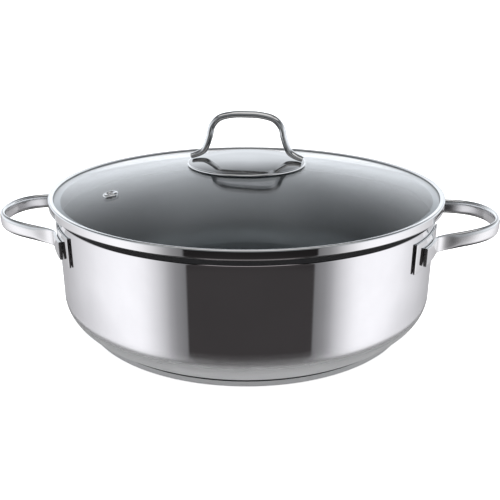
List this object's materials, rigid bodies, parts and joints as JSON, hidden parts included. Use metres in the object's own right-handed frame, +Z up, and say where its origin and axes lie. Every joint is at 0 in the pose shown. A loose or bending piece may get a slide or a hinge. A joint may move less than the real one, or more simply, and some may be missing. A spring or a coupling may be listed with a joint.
{
  "type": "braising pan",
  "caption": "Round stainless braising pan with a capsule base, two strap loop handles and a lift-off domed glass lid with a steel rim, steam vent and arched handle.",
  "frame": {"origin": "centre of the base, on the surface the pan stands on", "axes": "+X through the right side handle, -Y towards the front (the viewer), +Z up"},
  "size_m": [0.4328, 0.332, 0.1761],
  "materials": {
    "polished_steel": "mirror polished stainless steel",
    "base_steel": "satin ferritic stainless steel",
    "base_aluminium": "rolled aluminium disc",
    "lid_glass": "clear tempered glass",
    "silicone": "dark matt silicone"
  },
  "bodies": {
    "pan": {"pan_shell": "polished_steel", "base_core": "base_aluminium", "base_cap": "base_steel", "right_handle_strap": "polished_steel", "right_front_mount": "polished_steel", "right_rear_mount": "polished_steel", "left_handle_strap": "polished_steel", "left_front_mount": "polished_steel", "left_rear_mount": "polished_steel"},
    "lid": {"lid_glass": "lid_glass", "lid_rim_band": "polished_steel", "vent_eyelet": "polished_steel", "vent_collar": "polished_steel", "handle_plate": "polished_steel", "lid_handle": "polished_steel", "handle_boss": "polished_steel", "plate_gasket": "silicone", "inner_gasket": "silicone", "inner_washer": "polished_steel", "lid_screw": "polished_steel"}
  },
  "joints": [
    {"name": "lid_lift", "type": "slide", "parent": "pan", "child": "lid", "axis": [0, 0, 1], "range_m": [0, 0.12]}
  ]
}
